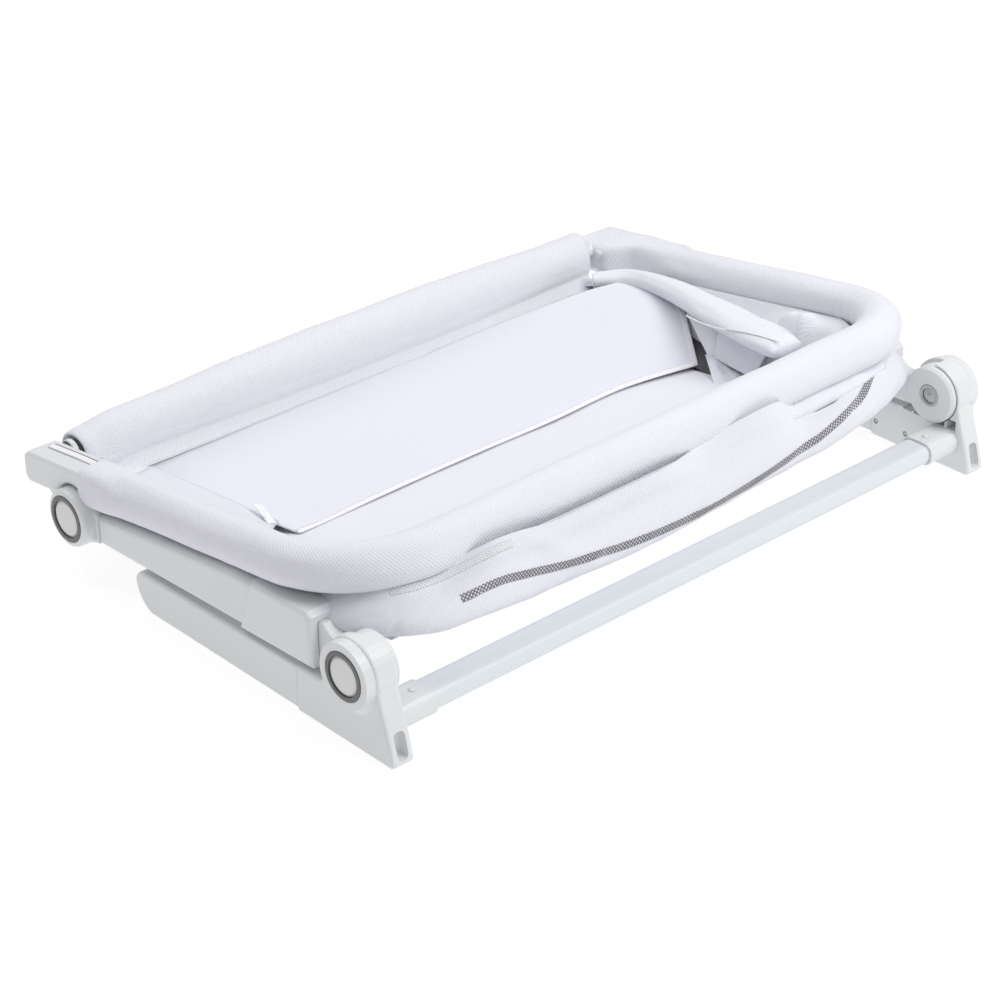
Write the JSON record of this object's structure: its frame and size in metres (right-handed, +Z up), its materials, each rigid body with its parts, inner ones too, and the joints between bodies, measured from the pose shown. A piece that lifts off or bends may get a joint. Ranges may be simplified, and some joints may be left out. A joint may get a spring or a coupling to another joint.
{
  "type": "bassinet on folding stand",
  "caption": "Bedside bassinet on a folding telescopic stand, folded flat: padded rail frame, collapsed fabric tub, two feet joined by a crossbar.",
  "frame": {"origin": "on the floor under the middle of the folded object's box", "axes": "+X to the right end, -Y towards the crossbar and the toes of the feet, +Z up"},
  "size_m": [0.9508, 0.635, 0.1935],
  "materials": {
    "shell_plastic": "fine satin moulded plastic, cool white",
    "button_plastic": "satin moulded plastic, warm white",
    "ring_plastic": "satin dark grey plastic",
    "bar_paint": "satin white powder coat",
    "hub_steel": "turned steel",
    "leg_aluminium": "drawn aluminium",
    "rail_steel": "white coated steel tube",
    "rail_fabric": "fine knitted air mesh, padded",
    "tub_fabric": "soft knitted mesh",
    "panel_fabric": "smooth woven lining",
    "floor_fabric": "plain woven base cloth",
    "mattress_fabric": "quilted knit",
    "board_wood": "fibreboard",
    "plug_plastic": "ribbed grey plastic",
    "grey_mesh": "open grey warp-knit mesh"
  },
  "bodies": {
    "stand": {"crossbar": "bar_paint", "left_foot_casing": "shell_plastic", "left_foot_rail": "shell_plastic", "left_foot_screw_front": "hub_steel", "left_foot_screw_rear": "hub_steel", "left_crossbar_rivet": "hub_steel", "left_lower_ring": "ring_plastic", "left_lower_axle": "hub_steel", "left_lower_spring": "hub_steel", "right_foot_casing": "shell_plastic", "right_foot_rail": "shell_plastic", "right_foot_screw_front": "hub_steel", "right_foot_screw_rear": "hub_steel", "right_crossbar_rivet": "hub_steel", "right_lower_ring": "ring_plastic", "right_lower_axle": "hub_steel", "right_lower_spring": "hub_steel"},
    "left_leg": {"left_leg_knuckle": "shell_plastic", "left_leg_inner_tube": "leg_aluminium"},
    "right_leg": {"right_leg_knuckle": "shell_plastic", "right_leg_inner_tube": "leg_aluminium"},
    "left_leg_upper": {"left_leg_sleeve": "shell_plastic", "left_height_collar": "shell_plastic", "left_upper_housing": "shell_plastic", "left_upper_ring": "ring_plastic", "left_upper_axle": "hub_steel", "left_upper_spring": "hub_steel"},
    "right_leg_upper": {"right_leg_sleeve": "shell_plastic", "right_height_collar": "shell_plastic", "right_upper_housing": "shell_plastic", "right_upper_ring": "ring_plastic", "right_upper_axle": "hub_steel", "right_upper_spring": "hub_steel"},
    "basket": {"u_rail_tube": "rail_steel", "u_rail_cover": "rail_fabric", "back_rail_tube": "rail_steel", "back_rail_cover": "rail_fabric", "tub_front_wall": "tub_fabric", "tub_back_panel": "panel_fabric", "tub_left_wall": "tub_fabric", "tub_right_wall": "tub_fabric", "snap_button": "button_plastic", "front_mesh_strip": "grey_mesh", "left_basket_bracket": "shell_plastic", "left_rail_plug": "plug_plastic", "right_basket_bracket": "shell_plastic", "right_rail_plug": "plug_plastic"},
    "mattress_base": {"mattress": "mattress_fabric", "mattress_board": "board_wood", "tub_floor": "floor_fabric"},
    "left_lower_knob": {"left_lower_button": "button_plastic"},
    "left_upper_knob": {"left_upper_button": "button_plastic"},
    "left_release": {"left_height_lever": "shell_plastic"},
    "right_lower_knob": {"right_lower_button": "button_plastic"},
    "right_upper_knob": {"right_upper_button": "button_plastic"},
    "right_release": {"right_height_lever": "shell_plastic"}
  },
  "joints": [
    {"name": "left_leg_fold", "type": "hinge", "parent": "stand", "child": "left_leg", "pos_m": [-0.4515, -0.2545, 0.088], "axis": [1, 0, 0], "range_deg": [0, 60]},
    {"name": "left_leg_height", "type": "slide", "parent": "left_leg", "child": "left_leg_upper", "axis": [0, 0.9993, -0.0379], "range_m": [0, 0.2]},
    {"name": "left_lower_press", "type": "slide", "parent": "stand", "child": "left_lower_knob", "axis": [1, 0, 0], "range_m": [0, 0.004], "stiffness_N_per_m": 900},
    {"name": "left_upper_press", "type": "slide", "parent": "left_leg_upper", "child": "left_upper_knob", "axis": [1, 0, 0], "range_m": [0, 0.004], "stiffness_N_per_m": 900},
    {"name": "left_height_release", "type": "slide", "parent": "left_leg_upper", "child": "left_release", "axis": [0, 0.9993, -0.0379], "range_m": [0, 0.006], "stiffness_N_per_m": 600},
    {"name": "right_leg_fold", "type": "hinge", "parent": "stand", "child": "right_leg", "pos_m": [0.4515, -0.2545, 0.088], "axis": [1, 0, 0], "range_deg": [0, 60]},
    {"name": "right_leg_height", "type": "slide", "parent": "right_leg", "child": "right_leg_upper", "axis": [0, 0.9993, -0.0379], "range_m": [0, 0.2]},
    {"name": "right_lower_press", "type": "slide", "parent": "stand", "child": "right_lower_knob", "axis": [-1, 0, 0], "range_m": [0, 0.004], "stiffness_N_per_m": 900},
    {"name": "right_upper_press", "type": "slide", "parent": "right_leg_upper", "child": "right_upper_knob", "axis": [-1, 0, 0], "range_m": [0, 0.004], "stiffness_N_per_m": 900},
    {"name": "right_height_release", "type": "slide", "parent": "right_leg_upper", "child": "right_release", "axis": [0, 0.9993, -0.0379], "range_m": [0, 0.006], "stiffness_N_per_m": 600},
    {"name": "basket_tilt", "type": "hinge", "parent": "left_leg_upper", "child": "basket", "pos_m": [-0.4515, 0.22, 0.07], "axis": [1, 0, 0], "range_deg": [-53, 0]},
    {"name": "mattress_drop", "type": "slide", "parent": "basket", "child": "mattress_base", "axis": [0, -0.1289, -0.9917], "range_m": [0, 0.14]}
  ],
  "couplings": [
    {"joint": "right_leg_fold", "follows": "left_leg_fold", "ratio": 1},
    {"joint": "right_leg_height", "follows": "left_leg_height", "ratio": 1},
    {"joint": "mattress_drop", "follows": "left_leg_fold", "m_per_rad": 0.1336}
  ]
}
